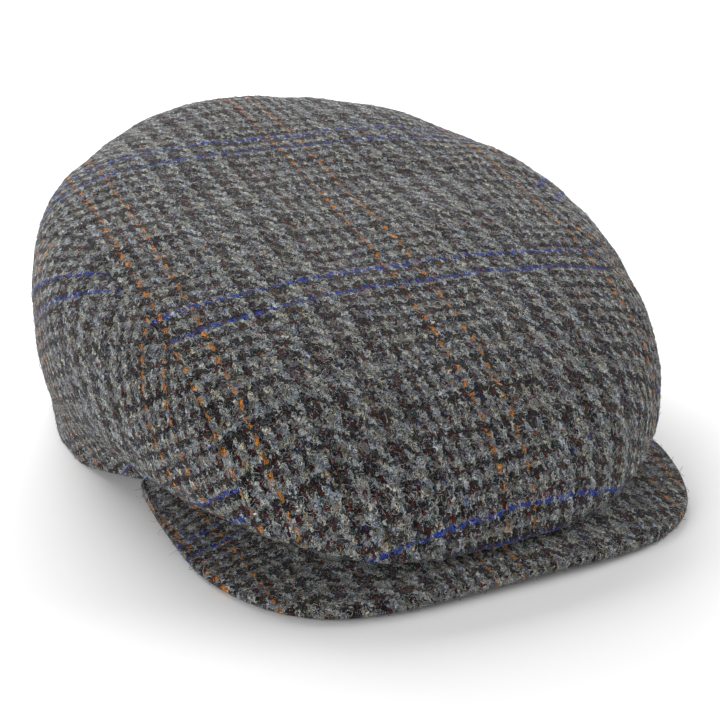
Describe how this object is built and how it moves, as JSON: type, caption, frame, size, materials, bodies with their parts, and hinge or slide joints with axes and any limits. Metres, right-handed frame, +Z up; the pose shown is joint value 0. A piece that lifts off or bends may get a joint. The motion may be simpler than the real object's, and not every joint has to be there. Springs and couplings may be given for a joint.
{
  "type": "flat cap",
  "caption": "Soft tweed flat cap with a long top panel, two side panels and a stiffened front peak, open below for a head.",
  "frame": {"origin": "on the surface that the cap stands on, under the middle of its length and width", "axes": "+Z up, -Y towards the peak, +X towards the wearer's left"},
  "size_m": [0.2118, 0.259, 0.0925],
  "materials": {
    "crown_tweed": "twill-woven wool tweed in a grey and charcoal check, slightly fuzzy and matt",
    "peak_tweed": "the same tweed, stretched smooth over a stiff peak board"
  },
  "bodies": {
    "root": {"top_panel": "crown_tweed", "side_panel_left": "crown_tweed", "side_panel_right": "crown_tweed", "peak": "peak_tweed"}
  },
  "joints": []
}
